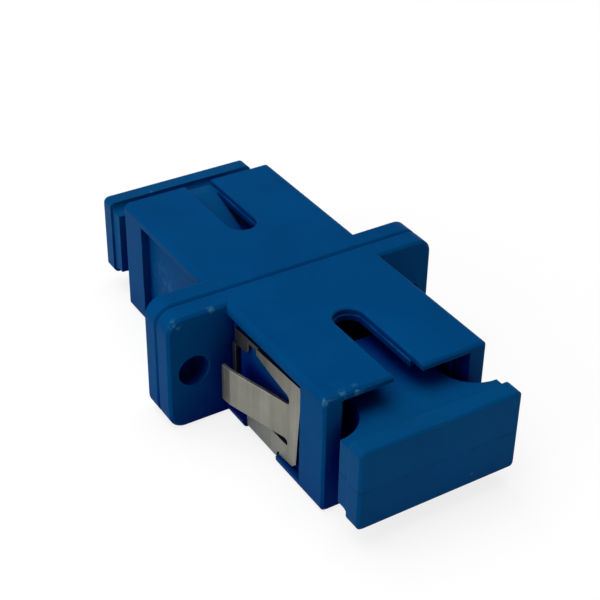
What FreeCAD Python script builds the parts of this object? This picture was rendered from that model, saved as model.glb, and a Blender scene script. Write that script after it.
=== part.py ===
"""A flanged SC fibre adapter with both of its dust plugs.

Two identical half housings meet at the middle of the flange and hold two latch inserts and a split
alignment sleeve between them. A stainless spring clip straddles the front half. Each mouth is closed
by a flat-handled dust plug that draws straight out.

Frame: X across the flange, Y along the fibre axis with the clip half at -Y, Z up. The origin is on the
ground under the middle of the flange. Every half is drawn towards -Y and turned into its place.
"""
import FreeCAD, Part
import math
import os
import re
import Sketcher
from FreeCAD import Placement, Rotation, Vector

SIZES = [
    # half housing, outside
    ("adapter_height", 9.3, "height of the flange and of both sleeves"),
    ("sleeve_width", 12.8, "width of the rectangular sleeve"),
    ("half_length", 14.25, "parting plane to mouth"),
    ("flange_half", 1.73, "thickness of each half of the flange"),
    ("ear_radius", 1.3, "corner radius of the ears"),
    ("ear_edge", 0.2, "bevel of the ears' outer edges"),
    ("screw_spacing", 18.0, "between the two screw holes"),
    ("ear_reach", 2.0, "middle of a screw hole to the tip of its ear"),
    ("screw_hole", 2.4, "screw hole diameter"),
    ("parting_bevel", 0.22, "bevel that makes the V at the parting line"),
    ("long_edge", 0.45, "rounding of the sleeve's long edges"),
    ("rim_edge", 0.18, "bevel of the mouth's outer rim"),
    # half housing, inside
    ("port_width", 9.1, "plug cavity, across"),
    ("port_wall", 0.95, "wall above and below the plug cavity"),
    ("lead_in_side", 0.5, "wider entry of the mouth past the cavity, on each side"),
    ("lead_in_wall", 0.5, "wall above and below that entry"),
    ("lead_in_depth", 1.3, "how deep the wider entry goes"),
    ("slot_width", 2.3, "key slot in the top wall"),
    ("slot_reach", 6.2, "parting plane to the closed end of the key slot"),
    ("slot_ledge", 0.1, "ledge left low down around the key slot"),
    ("ledge_depth", 0.5, "top face down to that ledge"),
    ("slot_edge", 0.12, "bevel of the slot's upper edge"),
    ("groove_depth", 0.5, "blind key groove in the bottom wall"),
    ("groove_reach", 9.0, "parting plane to the end of that groove"),
    # clip seat
    ("seat_depth", 0.65, "recess for the clip in each side wall"),
    ("seat_reach", 11.4, "parting plane to the end of the recess"),
    ("seat_strip", 0.75, "wall left above the recess"),
    ("seat_ledge", 0.65, "wall left below the recess"),
    ("channel_depth", 0.35, "channel for the clip's band under the sleeve"),
    ("channel_near", 3.95, "parting plane to the near side of the channel"),
    ("channel_far", 8.4, "parting plane to the far side of the channel"),
    # dowels between the halves
    ("dowel_diameter", 1.0, "moulded dowel on the parting face"),
    ("dowel_length", 0.6, "how far it stands out"),
    ("dowel_wall", 0.86, "insert's seat to the dowel's side"),
    ("dowel_rise", 3.0, "dowel's distance above and below the fibre axis"),
    ("dowel_play", 0.05, "clearance round and past a dowel"),
    # latch insert and sleeve
    ("insert_lip", 0.65, "insert's flange plate past the plug cavity, on each side"),
    ("insert_wall", 0.65, "housing left above and below the insert's flange plate"),
    ("insert_plate", 1.15, "insert's flange plate, thickness"),
    ("insert_play", 0.04, "clearance round the insert's flange plate"),
    ("tube_diameter", 4.7, "sleeve holder, outside"),
    ("tube_reach", 6.7, "parting plane to the end of the sleeve holder"),
    ("tube_mouth", 2.8, "opening in the end of the sleeve holder"),
    ("sleeve_diameter", 3.2, "alignment sleeve, outside"),
    ("sleeve_bore", 2.5, "alignment sleeve, inside"),
    ("sleeve_length", 11.4, "alignment sleeve"),
    ("sleeve_slit", 0.45, "slit along the alignment sleeve"),
    ("sleeve_play", 0.04, "clearance round and past the alignment sleeve"),
    ("arm_thickness", 0.6, "latch arm"),
    ("arm_width", 3.0, "latch arm, up"),
    ("arm_reach", 9.2, "parting plane to the tip of the latch arm"),
    ("arm_play", 0.12, "latch arm to the side wall"),
    ("hook_length", 1.4, "hook at the tip of the latch arm"),
    ("hook_rise", 0.32, "how far the hook stands off the arm"),
    # dust plug
    ("plug_height", 5.1, "plug body, up"),
    ("nose_gap", 0.3, "sleeve holder to the nose of the plug"),
    ("nose_bevel", 0.4, "bevel round the nose"),
    ("plug_play", 0.06, "plug body to the latch hooks"),
    ("grip_gap", 1.53, "mouth to the back of the grip plate"),
    ("grip_width", 12.34, "back layer of the grip plate, across"),
    ("grip_back", 1.17, "thickness of the back layer"),
    ("grip_front", 1.36, "thickness of the front layer"),
    ("grip_side_step", 0.16, "front layer past the back one, at each end"),
    ("grip_rise", 0.62, "front layer past the back one, above and below, and the coves between them"),
    ("grip_corner", 0.45, "corner radius of the front layer"),
    ("grip_edge", 0.22, "bevel round the front layer's face"),
    ("grip_draft", 0.05, "how far the parting line stands out of the front face"),
    ("key_play", 0.05, "key fin to the slot's narrow part and to the groove's bottom"),
    ("key_flat", 0.9, "level stretch of the fin at the mouth"),
    ("key_setback", 0.05, "mouth to the outer end of the fin"),
    ("key_end", 8.0, "parting plane to where the fin's ramp runs out"),
    # spring clip
    ("clip_sheet", 0.25, "steel strip"),
    ("clip_bend", 0.2, "inside bend radius under the sleeve"),
    ("clip_gap", 0.2, "side panel to the floor of the recess"),
    ("band_gap", 0.02, "clip to the faces that it bears on"),
    ("clip_near_gap", 0.47, "flange to the panel's near edge"),
    ("clip_far_gap", 0.24, "panel's far edge to the end of the recess"),
    ("channel_gap", 0.2, "band to each side of its channel"),
    ("crest_gap", 0.49, "top of the recess down to the panel's highest point"),
    ("crest_fall", 0.55, "fall of the panel's top from there to its near edge"),
    ("shoulder_drop", 0.7, "slanted corner at the far end of the top, down"),
    ("shoulder_in", 0.15, "the same corner, along"),
    ("foot_near_rise", 0.85, "bottom of the recess up to the panel's foot by the flange"),
    ("foot_rise", 0.13, "the same beside the band"),
    ("foot_slope", 0.18, "rise of that foot towards the mouth"),
    ("heel_in", 0.5, "how far the far edge leans in at its foot"),
    ("heel_corner", 0.45, "bevel between the far edge and the foot"),
    ("relief_rise", 0.3, "relief notch beside the band, up"),
    ("relief_run", 0.35, "relief notch beside the band, along"),
    ("leg_width", 0.42, "thin leg of the frame by the flange"),
    ("slit_width", 0.52, "slit under the tongue, up"),
    ("window_fall_near", 0.79, "panel's highest point down to the window's top by the bar"),
    ("window_knee", 3.66, "panel's far edge to the knee in the window's top"),
    ("window_fall_knee", 1.23, "panel's highest point down to that knee"),
    ("window_fall_far", 1.48, "the same down to the window's top at its far end"),
    ("window_end", 1.41, "panel left beyond the window"),
    ("window_lobe", 0.4, "radius of the window's far end"),
    ("slit_end", 1.56, "panel left beyond the slit under the tongue"),
    ("tongue_low", 2.77, "ground to the tongue's lower edge"),
    ("tongue_fall", 2.36, "panel's highest point down to the tongue's upper edge"),
    ("tongue_root", 1.96, "panel's far edge to the tongue's root"),
    ("tongue_bend", 4.25, "parting plane to the bend before the lip"),
    ("tongue_proud", 1.4, "how far the bend stands out of the panel"),
    ("lip_length", 0.92, "lip at the tongue's free end"),
    ("lip_proud", 0.1, "lip's end past the bend, outwards"),
    ("corner_fall", 1.77, "panel's highest point down to the foot of the set-back corner"),
    ("corner_length", 1.85, "set-back corner plate, along the clip"),
    ("bar_end", 5.44, "parting plane to the far end of the set-back bar"),
    ("bar_height", 0.33, "set-back bar above the window"),
    ("step_lap", 0.12, "overlap where the set-back corner joins the panel"),
]
ALIASES = {name for name, _value, _note in SIZES}

doc = FreeCAD.newDocument("FibreAdapter")
sheet = doc.addObject("Spreadsheet::Sheet", "Sizes")
for row, (name, value, note) in enumerate(SIZES, start=1):
    sheet.set(f"A{row}", note)
    sheet.set(f"B{row}", str(value))
    sheet.setAlias(f"B{row}", name)
doc.recompute()

TINY = 1e-4


# ---- helpers: every size goes in as a formula over the sheet ----

def formula(text):
    """The same formula with each size's name pointed at the sheet."""
    return re.sub(r"[a-z_]+", lambda m: "Sizes." + m[0] if m[0] in ALIASES else m[0], text)


def number(text):
    """What a formula comes to, for a first guess and for picking edges."""
    return float(sheet.evalExpression(formula(text)))


def new_body(label):
    body = doc.addObject("PartDesign::Body", label)
    body.Label = label
    return body


def new_sketch(body, name, plane, offset):
    """A sketch on one of the body's own planes, moved along that plane's normal."""
    sketch = body.newObject("Sketcher::SketchObject", name)
    origin_plane = next(f for f in body.Origin.OriginFeatures if f.Role == plane)
    sketch.AttachmentSupport = [(origin_plane, "")]
    sketch.MapMode = "FlatFace"
    sketch.AttachmentOffset = Placement(Vector(0, 0, number(offset)), Rotation())
    sketch.setExpression("AttachmentOffset.Base.z", formula(offset))
    return sketch


def pin_point(sketch, side, end, across, up):
    """Ties one end of a side to its place from the sketch's origin."""
    for kind, text in (("DistanceX", across), ("DistanceY", up)):
        index = sketch.addConstraint(Sketcher.Constraint(kind, -1, 1, side, end, number(text)))
        sketch.setExpression(f"Constraints[{index}]", formula(text))


def draw_outline(sketch, corners):
    """A closed outline. A corner is (across, up); (across, up, centre across, centre up, turn) makes the
    side that starts there an arc about that centre, and its turn is +1 counter-clockwise or -1."""
    points = [Vector(number(c[0]), number(c[1]), 0) for c in corners]
    sides = []
    for i, corner in enumerate(corners):
        start, stop = points[i], points[(i + 1) % len(points)]
        if len(corner) == 2:
            side = sketch.addGeometry(Part.LineSegment(start, stop), False)
            sides.append((side, 1, 2))
            continue
        centre, turn = Vector(number(corner[2]), number(corner[3]), 0), corner[4]
        first, last = (start, stop) if turn > 0 else (stop, start)
        angles = [math.atan2(p.y - centre.y, p.x - centre.x) for p in (first, last)]
        if angles[1] <= angles[0]:
            angles[1] += 2 * math.pi
        circle = Part.Circle(centre, Vector(0, 0, 1), (start - centre).Length)
        side = sketch.addGeometry(Part.ArcOfCircle(circle, *angles), False)
        sides.append((side, 1, 2) if turn > 0 else (side, 2, 1))
    for i, (side, start_end, stop_end) in enumerate(sides):
        following = sides[(i + 1) % len(sides)]
        sketch.addConstraint(Sketcher.Constraint("Coincident", side, stop_end, following[0], following[1]))
        pin_point(sketch, side, start_end, corners[i][0], corners[i][1])
    for i, corner in enumerate(corners):
        if len(corner) == 2:
            continue
        chord = points[(i + 1) % len(points)] - points[i]
        level = abs(chord.x) >= abs(chord.y)
        kind, text = ("DistanceY", corner[3]) if level else ("DistanceX", corner[2])
        index = sketch.addConstraint(Sketcher.Constraint(kind, -1, 1, sides[i][0], 3, number(text)))
        sketch.setExpression(f"Constraints[{index}]", formula(text))


def draw_box(sketch, left, right, low, high):
    draw_outline(sketch, [(left, low), (right, low), (right, high), (left, high)])


def draw_circle(sketch, across, up, diameter):
    circle = Part.Circle(Vector(number(across), number(up), 0), Vector(0, 0, 1), number(diameter) / 2)
    side = sketch.addGeometry(circle, False)
    pin_point(sketch, side, 3, across, up)
    index = sketch.addConstraint(Sketcher.Constraint("Diameter", side, number(diameter)))
    sketch.setExpression(f"Constraints[{index}]", formula(diameter))


def grow(body, name, plane, offset, depth, draw, *sizes):
    """Pads what draw(sketch, *sizes) draws, from the offset plane along its normal."""
    sketch = new_sketch(body, name + "_sketch", plane, offset)
    draw(sketch, *sizes)
    pad = body.newObject("PartDesign::Pad", name)
    pad.Profile = sketch
    pad.setExpression("Length", formula(depth))
    doc.recompute()
    return pad


def cut(body, name, plane, offset, depth, draw, *sizes):
    """Pockets what draw(sketch, *sizes) draws, from the offset plane along its normal."""
    before = body.Tip.Shape.Volume
    sketch = new_sketch(body, name + "_sketch", plane, offset)
    draw(sketch, *sizes)
    pocket = body.newObject("PartDesign::Pocket", name)
    pocket.Profile = sketch
    pocket.Reversed = True
    pocket.setExpression("Length", formula(depth))
    doc.recompute()
    if pocket.Shape.Volume > before - TINY:
        raise RuntimeError(f"{name} cuts nothing")
    return pocket


def edges_where(shape, chosen):
    """Names of the edges that chosen(box, length) picks."""
    return [f"Edge{i}" for i, e in enumerate(shape.Edges, start=1) if chosen(e.BoundBox, e.Length)]


def soften(body, name, kind, size, chosen):
    """Rounds (Fillet) or bevels (Chamfer) the picked edges of what the body is so far."""
    base = body.Tip
    edges = edges_where(base.Shape, chosen)
    if not edges:
        raise RuntimeError(f"{name} finds no edge")
    feature = body.newObject("PartDesign::" + kind, name)
    feature.Base = (base, edges)
    feature.setExpression("Radius" if kind == "Fillet" else "Size", formula(size))
    doc.recompute()
    return feature


def near(value, text):
    return abs(value - number(text)) < 1e-3


def flat_in_y(box, text):
    """Does the edge lie in the plane at that distance towards the mouth?"""
    return near(-box.YMin, text) and near(-box.YMax, text)


def runs_along_y(box):
    return box.XLength < TINY and box.ZLength < TINY


def turned(body, axis, angle):
    """Turns a finished half into the other end of the adapter, about the fibre axis's middle."""
    body.Placement = Placement(Vector(0, 0, 0), Rotation(axis, angle))
    if axis.x:
        body.setExpression("Placement.Base.z", formula("adapter_height"))


# ---- half housing ----

EAR_TIP = "(screw_spacing / 2 + ear_reach)"
INSERT_SIDE = "(port_width / 2 + insert_lip)"
DOWEL_ACROSS = f"({INSERT_SIDE} + insert_play + dowel_wall + dowel_diameter / 2)"


def half_housing(label):
    """Sleeve, flange half, plug cavity and clip seat, moulded in one piece."""
    body = new_body(label)
    grow(body, label + "_sleeve", "XZ_Plane", "0", "half_length", draw_box,
         "-sleeve_width / 2", "sleeve_width / 2", "0", "adapter_height")
    soften(body, label + "_long_edges", "Fillet", "long_edge", lambda box, length: runs_along_y(box))
    soften(body, label + "_rim", "Chamfer", "rim_edge", lambda box, length: flat_in_y(box, "half_length"))
    grow(body, label + "_flange", "XZ_Plane", "0", "flange_half", draw_box,
         f"-{EAR_TIP}", EAR_TIP, "0", "adapter_height")
    soften(body, label + "_ears", "Fillet", "ear_radius",
           lambda box, length: runs_along_y(box) and near(abs(box.XMin), EAR_TIP))
    soften(body, label + "_parting", "Chamfer", "parting_bevel", lambda box, length: flat_in_y(box, "0"))
    ear_faces(body, label)
    for side in ("", "-"):
        cut(body, label + "_screw" + ("_left" if side else "_right"), "XZ_Plane", "-1", "flange_half + 2",
            draw_circle, side + "screw_spacing / 2", "adapter_height / 2", "screw_hole")
    insert_seat(body, label)
    port(body, label)
    clip_seat(body, label)
    dowels(body, label)
    return body


def ear_faces(body, label):
    """Bevels the ears' front edges, ear tip and corners, up to the sleeve's side."""
    clear = number("sleeve_width / 2") + TINY
    soften(body, label + "_ear_edges", "Chamfer", "ear_edge",
           lambda box, length: flat_in_y(box, "flange_half") and min(abs(box.XMin), abs(box.XMax)) > clear)


def insert_seat(body, label):
    """Pocket in the parting face that holds the flange plate of the latch insert."""
    cut(body, label + "_insert_seat", "XZ_Plane", "0", "insert_plate + insert_play", draw_box,
        f"-{INSERT_SIDE} - insert_play", f"{INSERT_SIDE} + insert_play",
        "insert_wall - insert_play", "adapter_height - insert_wall + insert_play")


def port(body, label):
    """Plug cavity with its wider entry, the key slot above and the blind key groove below."""
    cut(body, label + "_cavity", "XZ_Plane", "0", "half_length + 1", draw_box,
        "-port_width / 2", "port_width / 2", "port_wall", "adapter_height - port_wall")
    cut(body, label + "_lead_in", "XZ_Plane", "half_length - lead_in_depth", "lead_in_depth + 1", draw_box,
        "-port_width / 2 - lead_in_side", "port_width / 2 + lead_in_side",
        "lead_in_wall", "adapter_height - lead_in_wall")

    def slot_outline(sketch, ledge):
        half, end = f"(slot_width / 2 - {ledge})", "-slot_reach - slot_width / 2"
        draw_outline(sketch, [("-" + half, end, "0", end, -1), (half, end),
                              (half, "-half_length - 1"), ("-" + half, "-half_length - 1")])

    cut(body, label + "_slot", "XY_Plane", "adapter_height - ledge_depth", "ledge_depth + 1",
        slot_outline, "0")
    cut(body, label + "_slot_through", "XY_Plane", "adapter_height / 2", "adapter_height / 2",
        slot_outline, "slot_ledge")
    inside = number("slot_width / 2") + TINY
    soften(body, label + "_slot_edge", "Chamfer", "slot_edge",
           lambda box, length: near(box.ZMin, "adapter_height") and near(box.ZMax, "adapter_height")
           and max(abs(box.XMin), abs(box.XMax)) < inside and length > inside)
    cut(body, label + "_groove", "XY_Plane", "port_wall - groove_depth",
        "groove_depth + adapter_height / 4", draw_box, "-slot_width / 2", "slot_width / 2",
        "-half_length - 1", "-groove_reach")


def clip_seat(body, label):
    """Recess in both side walls, and the channel that takes the clip's band round underneath."""
    floor = "(sleeve_width / 2 - seat_depth)"
    for name, inner, outer in (("_right", floor, "sleeve_width"), ("_left", "-sleeve_width", "-" + floor)):
        cut(body, label + "_seat" + name, "XZ_Plane", "flange_half", "seat_reach - flange_half", draw_box,
            inner, outer, "seat_ledge", "adapter_height - seat_strip")
        cut(body, label + "_passage" + name, "XZ_Plane", "channel_near", "channel_far - channel_near",
            draw_box, inner, outer, "-1", "seat_ledge + channel_depth")
    cut(body, label + "_channel", "XZ_Plane", "channel_near", "channel_far - channel_near", draw_box,
        "-sleeve_width", "sleeve_width", "-1", "channel_depth")


def dowels(body, label):
    """Two dowels on one side of the parting face and their sockets on the other."""
    for sign, place in (("+", "_upper"), ("-", "_lower")):
        height = f"adapter_height / 2 {sign} dowel_rise"
        cut(body, label + "_socket" + place, "XZ_Plane", "0", "dowel_length + dowel_play", draw_circle,
            f"-{DOWEL_ACROSS}", height, "dowel_diameter + 2 * dowel_play")
        grow(body, label + "_dowel" + place, "XZ_Plane", "-dowel_length", "dowel_length + flange_half / 2",
             draw_circle, DOWEL_ACROSS, height, "dowel_diameter")


# ---- latch insert and alignment sleeve ----

ARM_OUTER = "(port_width / 2 - arm_play)"
ARM_INNER = f"({ARM_OUTER} - arm_thickness)"
HOOK_SIDE = f"({ARM_INNER} - hook_rise)"


def latch_insert(label):
    """Flange plate, sleeve holder and the two hooked latch arms, moulded in one piece."""
    body = new_body(label)
    axis = "adapter_height / 2"
    grow(body, label + "_plate", "XZ_Plane", "insert_play / 2", "insert_plate - insert_play / 2", draw_box,
         f"-{INSERT_SIDE}", INSERT_SIDE, "insert_wall", "adapter_height - insert_wall")
    grow(body, label + "_tube", "XZ_Plane", "insert_play / 2", "tube_reach - insert_play / 2", draw_circle,
         "0", axis, "tube_diameter")
    cut(body, label + "_bore", "XZ_Plane", "0", "sleeve_length / 2 + sleeve_play", draw_circle,
        "0", axis, "sleeve_diameter + 2 * sleeve_play")
    cut(body, label + "_mouth", "XZ_Plane", "0", "tube_reach + 1", draw_circle, "0", axis, "tube_mouth")
    for side, name in (("", "_arm_right"), ("-1 * ", "_arm_left")):
        profile = [(ARM_OUTER, "-insert_plate / 2"), (ARM_OUTER, "-arm_reach + arm_thickness / 2"),
                   (ARM_OUTER + " - arm_thickness / 4", "-arm_reach"), (ARM_INNER, "-arm_reach"),
                   (HOOK_SIDE, "-arm_reach + hook_length / 2"), (HOOK_SIDE, "-arm_reach + hook_length * 0.8"),
                   (ARM_INNER, "-arm_reach + hook_length"), (ARM_INNER, "-insert_plate / 2")]
        grow(body, label + name, "XY_Plane", "(adapter_height - arm_width) / 2", "arm_width",
             draw_outline, [(f"{side}({across})", along) for across, along in profile])
    return body


def split_sleeve(label):
    """Slit ceramic tube that brings the two ferrules into line."""
    body = new_body(label)
    axis = "adapter_height / 2"
    grow(body, label + "_wall", "XZ_Plane", "-sleeve_length / 2", "sleeve_length", draw_circle,
         "0", axis, "sleeve_diameter")
    cut(body, label + "_bore", "XZ_Plane", "-sleeve_length / 2 - 1", "sleeve_length + 2", draw_circle,
        "0", axis, "sleeve_bore")
    cut(body, label + "_slit", "XZ_Plane", "-sleeve_length / 2 - 1", "sleeve_length + 2", draw_box,
        "-sleeve_slit / 2", "sleeve_slit / 2", axis, axis + " + sleeve_diameter")
    return body


# ---- dust plug ----

def dust_plug(label):
    """Flat body that flares into a grip plate, with a key fin underneath."""
    body = new_body(label)
    low, high = "(adapter_height - plug_height) / 2", "(adapter_height + plug_height) / 2"
    half, wide = f"({HOOK_SIDE} - plug_play)", "grip_width / 2"
    flare = f"({wide} - {half})"
    nose, grip = "tube_reach + nose_gap", "half_length + grip_gap"
    grow(body, label + "_plan", "XY_Plane", low, "plug_height", draw_outline, [
        (half, f"-({nose})"), (f"-{half}", f"-({nose})"),
        (f"-{half}", f"-({grip}) + {flare}", f"-{wide}", f"-({grip}) + {flare}", -1),
        (f"-{wide}", f"-({grip})"), (f"-{wide}", f"-({grip} + grip_back)"),
        (wide, f"-({grip} + grip_back)"),
        (wide, f"-({grip})", wide, f"-({grip}) + {flare}", -1),
        (half, f"-({grip}) + {flare}")])
    soften(body, label + "_nose", "Chamfer", "nose_bevel", lambda box, length: flat_in_y(box, nose))
    front_layer(body, label, low, high, grip)
    key_fin(body, label, low)
    return body


def front_layer(body, label, low, high, grip):
    """Outer layer of the grip plate: it stands past the back layer all round, with coves above and below."""
    back, face = f"{grip} + grip_back", f"{grip} + grip_back + grip_front"
    side, foot, top = "grip_width / 2 + grip_side_step", low + " - grip_rise", high + " + grip_rise"
    springing = f"{back} - grip_rise"
    grow(body, label + "_front", "XZ_Plane", springing, "grip_rise + grip_front + grip_draft", draw_box,
         f"-({side})", side, foot, top)
    soften(body, label + "_front_corners", "Fillet", "grip_corner",
           lambda box, length: runs_along_y(box) and near(abs(box.XMin), side))
    soften(body, label + "_face_edge", "Chamfer", "grip_edge",
           lambda box, length: flat_in_y(box, face + " + grip_draft"))
    for name, start, stop, beyond, turn in (("_cove_low", low, foot, foot + " - 1", 1),
                                            ("_cove_high", high, top, top + " + 1", -1)):
        cut(body, label + name, "YZ_Plane", "-grip_width", "2 * grip_width", draw_outline, [
            (f"-({springing})", start, f"-({springing})", stop, turn), (f"-({back})", stop),
            (f"-({back})", beyond), (f"-({springing})", beyond)])
    for name, left, right in (("_end_right", "grip_width / 2", "grip_width"),
                              ("_end_left", "-grip_width", "-grip_width / 2")):
        cut(body, label + name, "XZ_Plane", springing, "grip_rise", draw_box,
            left, right, foot + " - 1", top + " + 1")
    cut(body, label + "_draft", "YZ_Plane", "-grip_width", "2 * grip_width", draw_outline, [
        (f"-({face} + grip_draft)", "adapter_height / 2"), (f"-({face})", top),
        (f"-({face} + grip_front)", top), (f"-({face} + grip_front)", foot), (f"-({face})", foot)])


def key_fin(body, label, low):
    """Ramped fin that rides in the key slot, or in the blind groove when the plug is the other way up."""
    outer, foot = "half_length - key_setback", "port_wall - groove_depth + key_play"
    half = "(slot_width / 2 - slot_ledge - key_play)"
    grow(body, label + "_key", "YZ_Plane", "-" + half, "2 * " + half, draw_outline, [
        (f"-({outer})", low + " + plug_height / 4"), (f"-({outer})", foot),
        (f"-({outer} - key_flat)", foot), ("-key_end", low),
        ("-key_end", low + " + plug_height / 4")])


# ---- spring clip ----

PANEL_NEAR = "(flange_half + clip_near_gap)"
PANEL_FAR = "(seat_reach - clip_far_gap)"
PANEL_CREST = "(adapter_height - seat_strip - crest_gap)"
PANEL_FOOT = "(seat_ledge + foot_rise)"
BAND_NEAR = "(channel_near + channel_gap)"
BAND_FAR = "(channel_far - channel_gap)"


def spring_clip(label):
    """Stainless strip, cut flat and folded into a U: band underneath, a sprung tongue in each side."""
    body = new_body(label)
    inner = "sleeve_width / 2 - seat_depth + clip_gap"
    outer = inner + " + clip_sheet"
    base = "channel_depth - band_gap - clip_sheet"
    grow(body, label + "_channel", "XZ_Plane", PANEL_NEAR, f"{PANEL_FAR} - {PANEL_NEAR}", draw_outline, [
        (f"-({outer})", base), (outer, base), (outer, PANEL_CREST), (inner, PANEL_CREST),
        (inner, base + " + clip_sheet"), (f"-({inner})", base + " + clip_sheet"),
        (f"-({inner})", PANEL_CREST), (f"-({outer})", PANEL_CREST)])
    for name, radius, across, height in (("_inner_bend", "clip_bend", inner, base + " + clip_sheet"),
                                         ("_outer_bend", "clip_bend + clip_sheet", outer, base)):
        soften(body, label + name, "Fillet", radius,
               lambda box, length: runs_along_y(box) and near(abs(box.XMin), across)
               and near(box.ZMin, height))
    panel_outline(body, label)
    window(body, label)
    for side, name in (("", "_right"), ("-1 * ", "_left")):
        tongue(body, label + "_tongue" + name, side, inner)
        set_back_corner(body, label + "_corner" + name, side == "")
    return body


def panel_outline(body, label):
    """Trims the folded channel to the outline of its side panels and band, both sides at once."""
    across, width = "-sleeve_width", "2 * sleeve_width"
    shoulder, heel = f"{PANEL_CREST} - shoulder_drop", f"{PANEL_FOOT} + foot_slope"
    cut(body, label + "_top", "YZ_Plane", across, width, draw_outline, [
        (f"-{PANEL_NEAR}", f"{PANEL_CREST} - crest_fall"), (f"-{PANEL_FAR} + shoulder_in", PANEL_CREST),
        (f"-{PANEL_FAR}", shoulder), (f"-{PANEL_FAR} - 1", shoulder),
        (f"-{PANEL_FAR} - 1", f"{PANEL_CREST} + 1"), (f"-{PANEL_NEAR} + 1", f"{PANEL_CREST} + 1"),
        (f"-{PANEL_NEAR} + 1", f"{PANEL_CREST} - crest_fall")])
    cut(body, label + "_foot_near", "YZ_Plane", across, width, draw_box,
        f"-{BAND_NEAR}", f"-{PANEL_NEAR} + 1", "-1", "seat_ledge + foot_near_rise")
    cut(body, label + "_foot_far", "YZ_Plane", across, width, draw_outline, [
        (f"-{BAND_FAR}", "-1"), (f"-{BAND_FAR}", PANEL_FOOT),
        (f"-{BAND_FAR} - relief_run", f"{PANEL_FOOT} + relief_rise"), (f"-{BAND_FAR} - relief_run", PANEL_FOOT),
        (f"-{PANEL_FAR} + heel_in + heel_corner", heel), (f"-{PANEL_FAR} + heel_in", heel + " + heel_corner"),
        (f"-{PANEL_FAR}", shoulder), (f"-{PANEL_FAR} - 1", shoulder), (f"-{PANEL_FAR} - 1", "-1")])


def window(body, label):
    """Opening round the tongue, with round ends, and the gap that the set-back corner fills."""
    end, top = f"-{PANEL_FAR} + window_end + window_lobe", f"{PANEL_CREST} - window_fall_far"
    slit, root = f"-{PANEL_FAR} + slit_end + slit_width / 2", f"-{PANEL_FAR} + tongue_root"
    foot = "tongue_low - slit_width"
    leg, join = f"-{PANEL_NEAR} - leg_width", f"{PANEL_CREST} - corner_fall + step_lap"
    cut(body, label + "_window", "YZ_Plane", "-sleeve_width", "2 * sleeve_width", draw_outline, [
        ("-bar_end", f"{PANEL_CREST} - window_fall_near"),
        (f"-{PANEL_FAR} + window_knee", f"{PANEL_CREST} - window_fall_knee"),
        (end, top, end, top + " - window_lobe", 1), (end, top + " - 2 * window_lobe"),
        (root, f"{PANEL_CREST} - tongue_fall"), (root, "tongue_low"),
        (slit, "tongue_low", slit, "tongue_low - slit_width / 2", 1), (slit, foot),
        (leg, foot), (leg, join), ("-bar_end", join)])
    cut(body, label + "_corner_gap", "YZ_Plane", "-sleeve_width", "2 * sleeve_width", draw_box,
        "-bar_end", f"-{PANEL_NEAR} + 1", join, f"{PANEL_CREST} + 1")


def tongue(body, name, side, inner):
    """Sprung tongue, bent out of the panel, with its end turned back along the sleeve."""
    bend = f"{inner} + tongue_proud"
    lip = f"{bend} + lip_proud"
    root, knee, tip = f"-{PANEL_FAR} + tongue_root", "-tongue_bend", "-tongue_bend + lip_length"
    grow(body, name, "XY_Plane", "tongue_low", f"{PANEL_CREST} - tongue_fall - tongue_low", draw_outline,
         [(f"{side}({across})", along) for across, along in (
             (inner, root + " - clip_sheet"), (inner, root), (bend, knee), (lip, tip),
             (lip + " + clip_sheet", tip), (bend + " + clip_sheet", knee),
             (inner + " + clip_sheet", root), (inner + " + clip_sheet", root + " - clip_sheet"))])


def set_back_corner(body, name, outward):
    """Corner of the panel with the bar above the window, pressed in to bear on the recess's floor."""
    near_top, foot = f"{PANEL_CREST} - crest_fall", f"{PANEL_CREST} - corner_fall"
    rise = f"{near_top} + crest_fall / ({PANEL_FAR} - {PANEL_NEAR}) * "
    bar_end, plate_end = "-bar_end - step_lap", f"-{PANEL_NEAR} - corner_length"
    bar_top, plate_top = f"{rise}(bar_end + step_lap - {PANEL_NEAR})", rise + "corner_length"
    floor = "sleeve_width / 2 - seat_depth + band_gap"
    grow(body, name, "YZ_Plane", floor if outward else f"-({floor} + clip_sheet)", "clip_sheet", draw_outline, [
        (f"-{PANEL_NEAR}", foot), (f"-{PANEL_NEAR}", near_top), (bar_end, bar_top),
        (bar_end, bar_top + " - bar_height"), (plate_end, plate_top + " - bar_height"),
        (plate_end, foot + " + bar_height"), (plate_end + " + bar_height", foot)])


# ---- the adapter ----

front_housing = half_housing("front_housing")
rear_housing = half_housing("rear_housing")
turned(rear_housing, Vector(0, 0, 1), 180)
front_insert = latch_insert("front_latch_insert")
rear_insert = latch_insert("rear_latch_insert")
turned(rear_insert, Vector(0, 0, 1), 180)
sleeve = split_sleeve("split_sleeve")
clip = spring_clip("spring_clip")
front_plug = dust_plug("front_dust_plug")
rear_plug = dust_plug("rear_dust_plug")
turned(rear_plug, Vector(1, 0, 0), 180)
doc.recompute()

PIECES = [front_housing, rear_housing, front_insert, rear_insert, sleeve, clip, front_plug, rear_plug]
for item in doc.Objects:
    if "Invalid" in item.State or "Error" in item.State:
        raise RuntimeError(f"{item.Name} failed: {item.State}")
os.makedirs("parts", exist_ok=True)
for piece in PIECES:
    shape = piece.Shape
    if shape.isNull() or not shape.isValid() or len(shape.Solids) != 1:
        raise RuntimeError(f"{piece.Label} is not one sound solid")
for piece in PIECES:
    piece.Shape.exportStep(f"parts/{piece.Label}.step")
    box = piece.Shape.BoundBox
    print(f"{piece.Label}: {piece.Shape.Volume:.1f} mm3, {len(piece.Shape.Faces)} faces, "
          f"x {box.XMin:.2f}..{box.XMax:.2f} y {box.YMin:.2f}..{box.YMax:.2f} z {box.ZMin:.2f}..{box.ZMax:.2f}")
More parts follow.
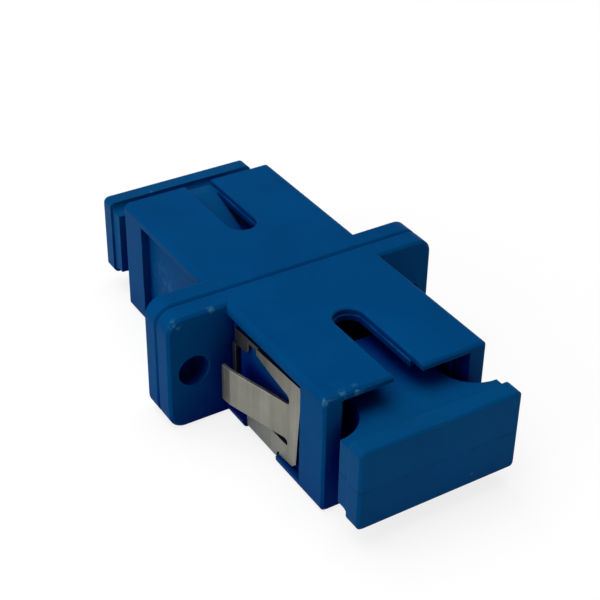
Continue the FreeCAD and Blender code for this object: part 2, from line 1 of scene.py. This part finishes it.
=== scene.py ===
# %% [markdown]
# # A fibre adapter with two dust plugs
# A lesson in finishing a small moulded product. The shapes come from the CAD model, as bodies in
# metres that stand where they belong. This script gives them their plastics and metals, and
# sets up the floor, the lights and the camera. Each cell prints what it made.

# %% Load the frame
import math
import bpy
from mathutils import Matrix, Vector


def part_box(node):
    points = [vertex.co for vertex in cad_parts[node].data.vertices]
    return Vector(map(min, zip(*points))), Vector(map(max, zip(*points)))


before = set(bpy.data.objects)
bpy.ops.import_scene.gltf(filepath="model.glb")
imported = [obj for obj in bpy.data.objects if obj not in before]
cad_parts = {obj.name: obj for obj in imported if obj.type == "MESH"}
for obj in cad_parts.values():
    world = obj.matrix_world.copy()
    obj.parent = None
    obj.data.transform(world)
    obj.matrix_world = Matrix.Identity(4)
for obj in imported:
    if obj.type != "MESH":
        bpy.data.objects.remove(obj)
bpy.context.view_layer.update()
for thing in bpy.context.selected_objects:
    thing.select_set(False)
MM = 0.001
print("nodes:", sorted(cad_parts))

# %% [markdown]
# ## How a material is put together here
# A surface is a Principled shader, fed by a few patterns. The patterns read Object coordinates,
# which are metres in the product's own frame, so a grain of a tenth of a millimetre stays so
# however large the piece is. Effects that several finishes share are node groups: each group puts
# out a mask, a colour or a normal, and the material decides what to do with it.

# %% Small helpers for nodes
def add(tree, kind, **settings):
    """A new node of this kind, with its settings."""
    node = tree.nodes.new(kind)
    for name, value in settings.items():
        setattr(node, name, value)
    return node


def link(tree, start, start_socket, end, end_socket):
    tree.links.new(start.outputs[start_socket], end.inputs[end_socket])


def feed(tree, socket, value):
    """Put a number or a colour in a socket, or join another node's output to it."""
    if isinstance(value, (int, float, tuple)):
        socket.default_value = value
    else:
        tree.links.new(value, socket)


def noise(tree, place, scale, detail=3.0, roughness=0.55):
    """Soft noise from 0 to 1; a scale of 1000 makes blotches about a millimetre across."""
    node = add(tree, "ShaderNodeTexNoise")
    feed(tree, node.inputs["Vector"], place)
    feed(tree, node.inputs["Scale"], scale)
    feed(tree, node.inputs["Detail"], detail)
    feed(tree, node.inputs["Roughness"], roughness)
    return node.outputs["Fac"]


def remap(tree, value, low, high, to_low=0.0, to_high=1.0):
    """Stretch low..high to to_low..to_high, and stop at both ends."""
    node = add(tree, "ShaderNodeMapRange", clamp=True)
    feed(tree, node.inputs["Value"], value)
    for socket, number in zip(("From Min", "From Max", "To Min", "To Max"), (low, high, to_low, to_high)):
        feed(tree, node.inputs[socket], number)
    return node.outputs["Result"]


def work_out(tree, operation, *values):
    """One step of arithmetic on numbers or outputs."""
    node = add(tree, "ShaderNodeMath", operation=operation)
    for socket, value in zip(node.inputs, values):
        feed(tree, socket, value)
    return node.outputs[0]


def mix_colour(tree, mask, low, high, blend="MIX"):
    """Colour low where the mask is 0, and high where it is 1."""
    node = add(tree, "ShaderNodeMix", data_type="RGBA", blend_type=blend)
    sockets = {socket.identifier: socket for socket in node.inputs}
    feed(tree, sockets["Factor_Float"], mask)
    feed(tree, sockets["A_Color"], low)
    feed(tree, sockets["B_Color"], high)
    return next(socket for socket in node.outputs if socket.identifier == "Result_Color")


def solid(colour, dimming=1.0):
    """A colour of three numbers as the four that a socket takes."""
    return (*[channel * dimming for channel in colour], 1.0)


print("helpers ready")

# %% Start a group or a material
def new_group(name, inputs, outputs):
    """An empty node group; inputs are (name, kind, default), outputs are (name, kind)."""
    group = bpy.data.node_groups.new(name, "ShaderNodeTree")
    for label, kind, default in inputs:
        socket = group.interface.new_socket(label, in_out="INPUT", socket_type="NodeSocket" + kind)
        if default is not None:
            socket.default_value = default
    for label, kind in outputs:
        group.interface.new_socket(label, in_out="OUTPUT", socket_type="NodeSocket" + kind)
    return group, add(group, "NodeGroupInput"), add(group, "NodeGroupOutput")


def place_group(tree, group, **values):
    """Set a group in a material, with this material's own values."""
    node = add(tree, "ShaderNodeGroup", node_tree=group)
    for label, value in values.items():
        feed(tree, node.inputs[label], value)
    return node


def new_material(name, roughness, specular, metallic=0.0):
    """A named material with its Principled shader and the Object coordinates to paint by."""
    material = bpy.data.materials.new(name)
    material.use_nodes = True
    tree = material.node_tree
    shader = tree.nodes["Principled BSDF"]
    shader.inputs["Roughness"].default_value = roughness
    shader.inputs["Specular IOR Level"].default_value = specular
    shader.inputs["Metallic"].default_value = metallic
    place = add(tree, "ShaderNodeTexCoord").outputs["Object"]
    return material, tree, shader, place


def bumpy(tree, shader, height, strength, depth, normal=None):
    """Give the shader a relief of this depth, over an optional rounded normal."""
    relief = add(tree, "ShaderNodeBump")
    relief.inputs["Strength"].default_value = strength
    relief.inputs["Distance"].default_value = depth
    feed(tree, relief.inputs["Height"], height)
    if normal is not None:
        feed(tree, relief.inputs["Normal"], normal)
    link(tree, relief, "Normal", shader, "Normal")


print("builders ready")

# %% [markdown]
# ## Edge wear and painted edge highlight
# Corners of a moulded part get rubbed pale by handling, and their rounded edges catch light. On the
# plastics the pale edge stands for both: partly wear, partly a painted highlight. A Bevel node tells
# where an edge is: its rounded normal differs from the true one only near a corner. The difference,
# broken up by noise, is the mask. It could be painted by hand or baked from the mesh, but the node
# works on any mesh and needs no UV map. The rounded normal goes out too, so that sharp edges catch a
# soft light.

# %% The rounded edges group
rounded_edges, g_in, g_out = new_group(
    "rounded_edges", [("Place", "Vector", None), ("Width", "Float", 0.2 * MM), ("Patchiness", "Float", 0.5)],
    [("Mask", "Float"), ("Normal", "Vector")])
bevel = add(rounded_edges, "ShaderNodeBevel", samples=6)
link(rounded_edges, g_in, "Width", bevel, "Radius")
geometry = add(rounded_edges, "ShaderNodeNewGeometry")
dot = add(rounded_edges, "ShaderNodeVectorMath", operation="DOT_PRODUCT")
link(rounded_edges, bevel, "Normal", dot, 0)
link(rounded_edges, geometry, "Normal", dot, 1)
edge = remap(rounded_edges, dot.outputs["Value"], 0.995, 0.80)
patches = noise(rounded_edges, g_in.outputs["Place"], 420.0, detail=4.0)
lift = work_out(rounded_edges, "SUBTRACT", patches, g_in.outputs["Patchiness"])
broken = remap(rounded_edges, lift, -0.06, 0.12)
rounded_edges.links.new(work_out(rounded_edges, "MULTIPLY", edge, broken), g_out.inputs["Mask"])
link(rounded_edges, bevel, "Normal", g_out, "Normal")
print("rounded_edges:", len(rounded_edges.nodes), "nodes")

# %% [markdown]
# ## Mould grain
# An injection mould is spark-eroded or blasted, and the plastic copies that fine, even grain. A
# slower swell on top of it stands for sink marks over thick walls. Shade is slower still, for the
# colour, which is never quite even. Two noises are enough; real displacement would cost millions
# of faces for a grain of a few thousandths of a millimetre.

# %% The mould grain group
mould_grain, g_in, g_out = new_group(
    "mould_grain", [("Place", "Vector", None), ("Grain", "Float", 9000.0)],
    [("Height", "Float"), ("Shade", "Float")])
fine = noise(mould_grain, g_in.outputs["Place"], g_in.outputs["Grain"], detail=2.0, roughness=0.5)
swell = noise(mould_grain, g_in.outputs["Place"], 260.0, detail=2.0)
mould_grain.links.new(work_out(mould_grain, "MULTIPLY_ADD", swell, 0.35, fine), g_out.inputs["Height"])
shade = noise(mould_grain, g_in.outputs["Place"], 170.0, detail=4.0)
mould_grain.links.new(shade, g_out.inputs["Shade"])
print("mould_grain:", len(mould_grain.nodes), "nodes")

# %% [markdown]
# ## Painted shade in deep corners
# Light that reaches the bottom of a slot has bounced from blue wall to blue wall, and each bounce
# takes more green out of it than blue. So recesses in a blue moulding look violet rather than
# grey. More light bounces would bring some of this, slowly and with noise. The cheap way, used
# here, is to paint that shade into the colour: an Ambient Occlusion node finds how closed in a
# spot is, whatever the light.

# %% The painted corner shade group
painted_corner_shade, g_in, g_out = new_group(
    "painted_corner_shade", [("Reach", "Float", 6.0 * MM)], [("Mask", "Float")])
shelter = add(painted_corner_shade, "ShaderNodeAmbientOcclusion", samples=8)
link(painted_corner_shade, g_in, "Reach", shelter, "Distance")
painted_corner_shade.links.new(remap(painted_corner_shade, shelter.outputs["AO"], 0.66, 0.26), g_out.inputs["Mask"])
print("painted_corner_shade:", len(painted_corner_shade.nodes), "nodes")

# %% [markdown]
# ## Scuffs and painted highlights
# A scuff is a pale, ragged patch in one known place, where the part has been knocked or has rubbed
# on its neighbour. It could be modelled as a dent, but it is too shallow to show as a shape. Here
# it is a soft ball round a point, torn up by noise. The same patch also paints highlights and
# sheen where light catches the surface.

# %% The scuffs and painted highlights group
scuffs_and_highlights, g_in, g_out = new_group(
    "scuffs_and_highlights", [("Place", "Vector", None), ("Centre", "Vector", None), ("Reach", "Float", 1.0 * MM)],
    [("Mask", "Float")])
apart = add(scuffs_and_highlights, "ShaderNodeVectorMath", operation="DISTANCE")
link(scuffs_and_highlights, g_in, "Place", apart, 0)
link(scuffs_and_highlights, g_in, "Centre", apart, 1)
near = remap(scuffs_and_highlights, work_out(scuffs_and_highlights, "DIVIDE", apart.outputs["Value"], g_in.outputs["Reach"]), 1.0, 0.2)
torn = remap(scuffs_and_highlights, noise(scuffs_and_highlights, g_in.outputs["Place"], 2000.0, detail=4.0), 0.48, 0.64)
scuffs_and_highlights.links.new(work_out(scuffs_and_highlights, "MULTIPLY", near, torn), g_out.inputs["Mask"])
print("scuffs:", len(scuffs_and_highlights.nodes), "nodes")

# %% [markdown]
# ## Parting line, and a painted lighter upper half
# The two halves of a plug's mould meet half way up its plate. They leave a hair line there, broken
# where the halves met well. The upper half is painted a touch paler, as a painted highlight on the
# face that catches more light. A groove in the mesh would be the same all along; a mask by height
# can wander and fade.

# %% The parting line group
WANDER = 0.06 * MM
HAIR_CORE, HAIR_EDGE = 0.04 * MM, 0.13 * MM
FADE = 0.3 * MM
parting_line, g_in, g_out = new_group(
    "parting_line", [("Place", "Vector", None), ("Level", "Float", 5.0 * MM)],
    [("Line", "Float"), ("Lit Upper Half", "Float")])
split = add(parting_line, "ShaderNodeSeparateXYZ")
link(parting_line, g_in, "Place", split, "Vector")
above = work_out(parting_line, "SUBTRACT", split.outputs["Z"], g_in.outputs["Level"])
wander = noise(parting_line, g_in.outputs["Place"], 300.0)
above = work_out(parting_line, "ADD", above, remap(parting_line, wander, 0.3, 0.7, -WANDER, WANDER))
hair = remap(parting_line, work_out(parting_line, "ABSOLUTE", above), HAIR_EDGE, HAIR_CORE)
gaps = remap(parting_line, noise(parting_line, g_in.outputs["Place"], 700.0, detail=1.0), 0.42, 0.56)
parting_line.links.new(work_out(parting_line, "MULTIPLY", hair, gaps), g_out.inputs["Line"])
parting_line.links.new(remap(parting_line, above, -FADE, FADE), g_out.inputs["Lit Upper Half"])
print("parting_line:", len(parting_line.nodes), "nodes")

# %% [markdown]
# ## Dust and fine scratches
# Blue plastic shows every speck. Specks are the few cells of a Voronoi pattern that happen to be
# switched on, and scratches are noise stretched a long way in one direction. Particles would look
# the same from here and make the model heavy.

# %% The handling marks group
handling, g_in, g_out = new_group(
    "handling_marks", [("Place", "Vector", None), ("Amount", "Float", 0.5)],
    [("Specks", "Float"), ("Scratches", "Float")])
cells = add(handling, "ShaderNodeTexVoronoi")
cells.inputs["Scale"].default_value = 1500.0
link(handling, g_in, "Place", cells, "Vector")
dots = remap(handling, cells.outputs["Distance"], 0.22, 0.10)
switch = add(handling, "ShaderNodeSeparateColor")
link(handling, cells, "Color", switch, "Color")
chosen = work_out(handling, "GREATER_THAN", switch.outputs["Red"], 0.993)
specks = work_out(handling, "MULTIPLY", dots, chosen)
amount = g_in.outputs["Amount"]
handling.links.new(work_out(handling, "MULTIPLY", specks, amount), g_out.inputs["Specks"])
turn = add(handling, "ShaderNodeMapping")
turn.inputs["Rotation"].default_value = (0.0, 0.0, math.radians(24))
turn.inputs["Scale"].default_value = (0.03, 1.0, 1.0)
link(handling, g_in, "Place", turn, "Vector")
lines = remap(handling, noise(handling, turn.outputs["Vector"], 5200.0, detail=1.0), 0.74, 0.80)
where = remap(handling, noise(handling, g_in.outputs["Place"], 330.0), 0.52, 0.66)
scratches = work_out(handling, "MULTIPLY", lines, where)
handling.links.new(work_out(handling, "MULTIPLY", scratches, amount), g_out.inputs["Scratches"])
print("handling_marks:", len(handling.nodes), "nodes")

# %% [markdown]
# ## The two blue plastics
# The housing and the plugs are the same family of blue plastic. The housing has the matter skin,
# and the plugs come from a smoother mould and catch a little more light. One recipe serves both,
# and the dark latch inserts too: it starts from the plain colour and lays on, one over the other,
# the uneven shade, the parting line with its painted paler upper half, painted shade in deep
# corners, the rubbed edges with a painted highlight, and the dust, scuffs and painted highlights.

# %% Moulded plastic
BLUE_GLOSS = (0.30, 0.70, 1.0)
SCRAPE_AND_HIGHLIGHT = (0.12, 0.36, 0.45)
GRAIN_DEPTH = 0.01 * MM


def moulded_plastic(name, colour, pale, roughness, specular, grain, bump, wear_width, patchiness,
                    marks, scuffed_and_lit=(), parted=None):
    """Matt plastic. Grain is the fineness of its skin, marks the amount of dust and scratches,
    scuffed_and_lit lists (centre, reach, strength) of scuffs and painted highlights, and parted is
    the height of its parting line."""
    material, tree, shader, place = new_material(name, roughness, specular)
    shader.inputs["Specular Tint"].default_value = solid(BLUE_GLOSS)
    surface = place_group(tree, mould_grain, Place=place, Grain=grain)
    edge_finder = place_group(tree, rounded_edges, Place=place, Width=wear_width, Patchiness=patchiness)
    touched = place_group(tree, handling, Place=place, Amount=marks)

    shade = remap(tree, surface.outputs["Shade"], 0.3, 0.7, 0.90, 1.08)
    grey = add(tree, "ShaderNodeCombineColor")
    for channel in ("Red", "Green", "Blue"):
        tree.links.new(shade, grey.inputs[channel])
    tone = mix_colour(tree, 1.0, solid(colour), grey.outputs["Color"], "MULTIPLY")
    if parted is not None:
        seam = place_group(tree, parting_line, Place=place, Level=parted)
        # Painted light: the upper half of the plate is made a touch paler.
        lit_upper_half = work_out(tree, "MULTIPLY", seam.outputs["Lit Upper Half"], 0.03)
        tone = mix_colour(tree, lit_upper_half, tone, solid(pale))
        line = work_out(tree, "MULTIPLY", seam.outputs["Line"], 0.55)
        tone = mix_colour(tree, line, tone, solid(colour, 0.5))

    # Painted shade: closed-in spots are darkened and turned violet in the colour.
    red, green, blue = colour
    shade_violet = (red, green * 0.10, blue * 0.72)
    corner_shade = place_group(tree, painted_corner_shade, Reach=7.0 * MM)
    tone = mix_colour(tree, corner_shade.outputs["Mask"], tone, solid(shade_violet))
    # Pale edges: partly rubbed wear, partly a painted highlight where the rounded edges catch light.
    rubbed_and_lit = work_out(tree, "MULTIPLY", edge_finder.outputs["Mask"], 0.45)
    tone = mix_colour(tree, rubbed_and_lit, tone, solid(pale))

    scratched = work_out(tree, "MULTIPLY", touched.outputs["Scratches"], 0.30)
    marks_and_highlights = work_out(tree, "MAXIMUM", touched.outputs["Specks"], scratched)
    # These patches lay on scuffs, and also painted highlights and a painted sheen.
    for centre, reach, strength in scuffed_and_lit:
        pale_patch = place_group(tree, scuffs_and_highlights, Place=place, Centre=centre, Reach=reach)
        patch = work_out(tree, "MULTIPLY", pale_patch.outputs["Mask"], strength)
        marks_and_highlights = work_out(tree, "MAXIMUM", marks_and_highlights, patch)
    feed(tree, shader.inputs["Base Color"], mix_colour(tree, marks_and_highlights, tone, solid(SCRAPE_AND_HIGHLIGHT)))

    rough = remap(tree, surface.outputs["Shade"], 0.3, 0.7, roughness - 0.04, roughness + 0.05)
    feed(tree, shader.inputs["Roughness"], rough)
    bumpy(tree, shader, surface.outputs["Height"], bump, GRAIN_DEPTH, edge_finder.outputs["Normal"])
    print(name, "has", len(tree.nodes), "nodes")
    return material


print("the recipe for moulded plastic is ready")

# %% [markdown]
# ## Where the housing is scuffed, and where highlights are painted
# Most scuffs sit on the rim that a hand or a panel meets first: the left end of the mouth's top
# edge, and the left ear. The patches at the mouth's left corner and at the ear's corner are
# painted highlights, and the rear half's side recess has one large, faint painted sheen.

# %% The blue plastics
(ear_left, mouth, _), (_, _, top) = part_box("front_housing")
EAR_FRONT = -1.73 * MM
RECESS_WALL = -5.75 * MM
mouth_edge = [(x * MM, mouth, top) for x in (-6.2, -4.9, -3.9)]
ear_edge = (-7.6 * MM, EAR_FRONT, top)
ear_corner = (ear_left + 0.7 * MM, EAR_FRONT, top - 0.4 * MM)
recess_middle = (RECESS_WALL, 9.2 * MM, top / 2)
# Painted highlights: the first patch, at the mouth's corner, and the ear corner; painted sheen: the
# recess patch; the rest are scuffs.
HOUSING_SCUFFS_AND_HIGHLIGHTS = [
    (mouth_edge[0], 0.8 * MM, 0.32), (mouth_edge[1], 0.7 * MM, 0.32), (mouth_edge[2], 0.7 * MM, 0.32),
    (ear_edge, 0.45 * MM, 0.30), (ear_corner, 0.6 * MM, 0.35), (recess_middle, 2.4 * MM, 0.10),
]
housing_blue = moulded_plastic(
    "housing_blue", colour=(0.0, 0.050, 0.169), pale=(0.02, 0.18, 0.28), roughness=0.45, specular=0.010,
    grain=9000.0, bump=0.40, wear_width=0.12 * MM, patchiness=0.50, marks=0.22, scuffed_and_lit=HOUSING_SCUFFS_AND_HIGHLIGHTS)
plug_blue = moulded_plastic(
    "plug_blue", colour=(0.0, 0.051, 0.168), pale=(0.02, 0.17, 0.27), roughness=0.42, specular=0.014,
    grain=6500.0, bump=0.30, wear_width=0.15 * MM, patchiness=0.56, marks=0.18, parted=top / 2)

# %% [markdown]
# ## Spring steel
# The clip is rolled strip: a dull warm grey with fine streaks along the rolling direction, a few
# broader bands, and brighter sheared edges. Where it lies deep in its recess, its colour is
# painted toward dark slate as painted shade. Anisotropy would need a tangent, and the streaks in
# the roughness and the bump do the same work.

# %% Rolled stainless strip
BRIGHT_EDGE = (0.70, 0.70, 0.66)
SHADE_SLATE = (0.02, 0.035, 0.06)


def rolled_steel(name, colour):
    """Dull rolled strip whose streaks run along Z."""
    material, tree, shader, place = new_material(name, 0.42, 0.5, metallic=1.0)
    stretch = add(tree, "ShaderNodeMapping")
    stretch.inputs["Scale"].default_value = (1.0, 1.0, 0.04)
    tree.links.new(place, stretch.inputs["Vector"])
    streaks = noise(tree, stretch.outputs["Vector"], 7000.0, detail=4.0)
    bands = noise(tree, stretch.outputs["Vector"], 1100.0, detail=2.0)
    cloud = noise(tree, place, 480.0, detail=4.0)
    edge_finder = place_group(tree, rounded_edges, Place=place, Width=0.05 * MM, Patchiness=0.35)

    dull = work_out(tree, "MULTIPLY_ADD", bands, 0.6, work_out(tree, "MULTIPLY", cloud, 0.4))
    tone = mix_colour(tree, remap(tree, dull, 0.38, 0.62), solid(colour, 0.80), solid(colour, 1.06))
    # Painted shade: deep in the recess the steel is darkened toward slate.
    corner_shade = place_group(tree, painted_corner_shade, Reach=9.0 * MM)
    tone = mix_colour(tree, corner_shade.outputs["Mask"], tone, solid(SHADE_SLATE))
    sheared = work_out(tree, "MULTIPLY", edge_finder.outputs["Mask"], 0.4)
    feed(tree, shader.inputs["Base Color"], mix_colour(tree, sheared, tone, solid(BRIGHT_EDGE)))

    feed(tree, shader.inputs["Roughness"], remap(tree, streaks, 0.3, 0.7, 0.34, 0.52))
    bumpy(tree, shader, streaks, 0.25, 0.004 * MM, edge_finder.outputs["Normal"])
    print(name, "has", len(tree.nodes), "nodes")
    return material


clip_steel = rolled_steel("clip_steel", (0.245, 0.243, 0.205))

# %% [markdown]
# ## The hidden parts
# The latch insert is a dark navy plastic, painted near black as painted shade for the slots it
# fills, and the alignment sleeve is polished white ceramic. Only slivers of them show through
# the slots, and they still get a finish of their own.

# %% Navy plastic and ceramic
# The near black colour is painted shade for the dark slots, over the insert's own navy.
insert_navy_shaded = moulded_plastic(
    "insert_navy_shaded", colour=(0.0, 0.006, 0.022), pale=(0.01, 0.03, 0.06), roughness=0.50, specular=0.10,
    grain=7000.0, bump=0.3, wear_width=0.1 * MM, patchiness=0.6, marks=0.0)
sleeve_ceramic, tree, shader, place = new_material("sleeve_ceramic", 0.18, 0.5)
milky = remap(tree, noise(tree, place, 900.0), 0.3, 0.7)
glaze = mix_colour(tree, milky, solid((0.80, 0.80, 0.77)), solid((0.90, 0.90, 0.87)))
feed(tree, shader.inputs["Base Color"], glaze)
bumpy(tree, shader, noise(tree, place, 6000.0), 0.1, 0.002 * MM)
print("sleeve_ceramic has", len(tree.nodes), "nodes")

# %% [markdown]
# ## Dressing the bodies
# Each body from the CAD model keeps its shape and gets one finish in its material slots. Both
# halves share one plastic, and so do the two plugs, as they come from the same mould.

# %% Give each body its finish
FINISHES = {
    "front_housing": housing_blue, "rear_housing": housing_blue,
    "front_dust_plug": plug_blue, "rear_dust_plug": plug_blue,
    "spring_clip": clip_steel, "front_latch_insert": insert_navy_shaded,
    "rear_latch_insert": insert_navy_shaded, "split_sleeve": sleeve_ceramic,
}
for node_name, finish in FINISHES.items():
    for material_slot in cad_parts[node_name].material_slots:
        material_slot.material = finish
    print(node_name, "->", finish.name)

# %% [markdown]
# ## Floor and backdrop
# The product lies on a pale sheet that runs back and up behind it. The camera, and shiny metal,
# see the sheet as nearly plain white with only the contact shadow left; to the light it is an
# ordinary pale surface, so nothing on the product is lit by a trick. Far from the product, where
# no shadow falls, the sheet is seen as pure white and has no visible edge. In a mirror the white
# ends 20 degrees up, where the sheet would end, and the dim room begins.

# %% The floor
WHITE = (1.0, 1.0, 1.0)
PALE_GREY = (0.80, 0.80, 0.80)


def seen_by_mirrors(tree, path):
    """1 for rays that come from shiny metal or through glass."""
    return work_out(tree, "MAXIMUM", path.outputs["Is Glossy Ray"], path.outputs["Is Transmission Ray"])


bpy.ops.mesh.primitive_plane_add(size=2.4, location=(0, 0, 0))
floor = bpy.context.object
floor.name = "floor"
paper, tree, shader, place = new_material("floor_paper", 0.9, 0.1)
path = add(tree, "ShaderNodeLightPath")
seen = work_out(tree, "MAXIMUM", path.outputs["Is Camera Ray"], seen_by_mirrors(tree, path))
feed(tree, shader.inputs["Base Color"], mix_colour(tree, seen, solid(PALE_GREY), solid(WHITE)))
glow = add(tree, "ShaderNodeEmission")
distance = add(tree, "ShaderNodeVectorMath", operation="LENGTH")
tree.links.new(place, distance.inputs[0])
whiteness = remap(tree, distance.outputs["Value"], 0.08, 0.45, 0.80, 1.0)
blend = add(tree, "ShaderNodeMixShader")
feed(tree, blend.inputs[0], work_out(tree, "MULTIPLY", seen, whiteness))
feed(tree, blend.inputs[1], shader.outputs["BSDF"])
feed(tree, blend.inputs[2], glow.outputs["Emission"])
link(tree, blend, "Shader", tree.nodes["Material Output"], "Surface")
floor.data.materials.append(paper)
print("floor:", [round(side, 2) for side in floor.dimensions])

# %% The world
SHEET_TOP = math.sin(math.radians(20))
ROOM_LIGHT = 0.10
world = bpy.data.worlds.new("studio")
bpy.context.scene.world = world
world.use_nodes = True
tree = world.node_tree
path = add(tree, "ShaderNodeLightPath")
direction = add(tree, "ShaderNodeSeparateXYZ")
feed(tree, direction.inputs["Vector"], add(tree, "ShaderNodeTexCoord").outputs["Generated"])
sheet = remap(tree, direction.outputs["Z"], SHEET_TOP + 0.05, SHEET_TOP)
mirrored = work_out(tree, "MULTIPLY", seen_by_mirrors(tree, path), sheet)
room = tree.nodes["Background"]
room.inputs["Color"].default_value = solid(WHITE)
room.inputs["Strength"].default_value = ROOM_LIGHT
white = add(tree, "ShaderNodeBackground")
white.inputs["Color"].default_value = solid(WHITE)
choose = add(tree, "ShaderNodeMixShader")
feed(tree, choose.inputs[0], work_out(tree, "MAXIMUM", path.outputs["Is Camera Ray"], mirrored))
feed(tree, choose.inputs[1], room.outputs["Background"])
feed(tree, choose.inputs[2], white.outputs["Background"])
link(tree, choose, "Shader", tree.nodes["World Output"], "Surface")
print("room light", ROOM_LIGHT)

# %% [markdown]
# ## Lights
# Three soft boxes: a large one overhead, one to the left that opens up the side walls, and a weaker
# one from the right that keeps the end faces from going black. Small lamps would give hard shadows
# and sparks on the steel. Together with the room they light a face that looks up at a level where
# its colour comes out about as written.

# %% Soft boxes
LIT_POINT = Vector((0.0, 0.0, 5.0 * MM))


def soft_box(name, position, width, power):
    """A square area lamp that faces the middle of the product."""
    lamp = bpy.data.lights.new(name, "AREA")
    lamp.size = width
    lamp.energy = power
    thing = bpy.data.objects.new(name, lamp)
    bpy.context.scene.collection.objects.link(thing)
    thing.location = position
    thing.rotation_euler = (LIT_POINT - Vector(position)).to_track_quat("-Z", "Y").to_euler()
    print(name, "at", position, "power", power)


soft_box("overhead", (-0.05, 0.10, 0.45), width=0.50, power=2.3)
soft_box("left", (-0.50, -0.05, 0.22), width=0.40, power=1.4)
soft_box("right_front", (0.35, -0.45, 0.15), width=0.30, power=0.5)

# %% [markdown]
# ## Camera
# The camera looks down past the front mouth from the left, close enough for the far end to look
# smaller. It could be placed by eye; azimuth, elevation and distance from an aiming point on the
# product are easier to read and to change.

# %% The camera
AIM = Vector((-0.62, -2.03, 7.85)) * MM
AZIMUTH, ELEVATION, ROLL = math.radians(-32.34), math.radians(33.91), math.radians(1.06)
DISTANCE = 100.0 * MM
FOCAL_LENGTH, FILM_WIDTH = 85.02, 36.0
back = Vector((math.sin(AZIMUTH) * math.cos(ELEVATION), -math.cos(AZIMUTH) * math.cos(ELEVATION),
               math.sin(ELEVATION)))
right = Vector((math.cos(AZIMUTH), math.sin(AZIMUTH), 0.0))
upright = Matrix((right, back.cross(right), back)).transposed()
lens = bpy.data.cameras.new("camera")
lens.sensor_width = FILM_WIDTH
lens.lens = FOCAL_LENGTH
lens.clip_start = 5.0 * MM
camera = bpy.data.objects.new("camera", lens)
bpy.context.scene.collection.objects.link(camera)
camera.location = AIM + back * DISTANCE
camera.rotation_euler = (upright @ Matrix.Rotation(ROLL, 3, "Z")).to_euler()
bpy.context.scene.camera = camera
bpy.context.scene.view_settings.view_transform = "Standard"
print("camera at mm", [round(v / MM, 2) for v in camera.location])
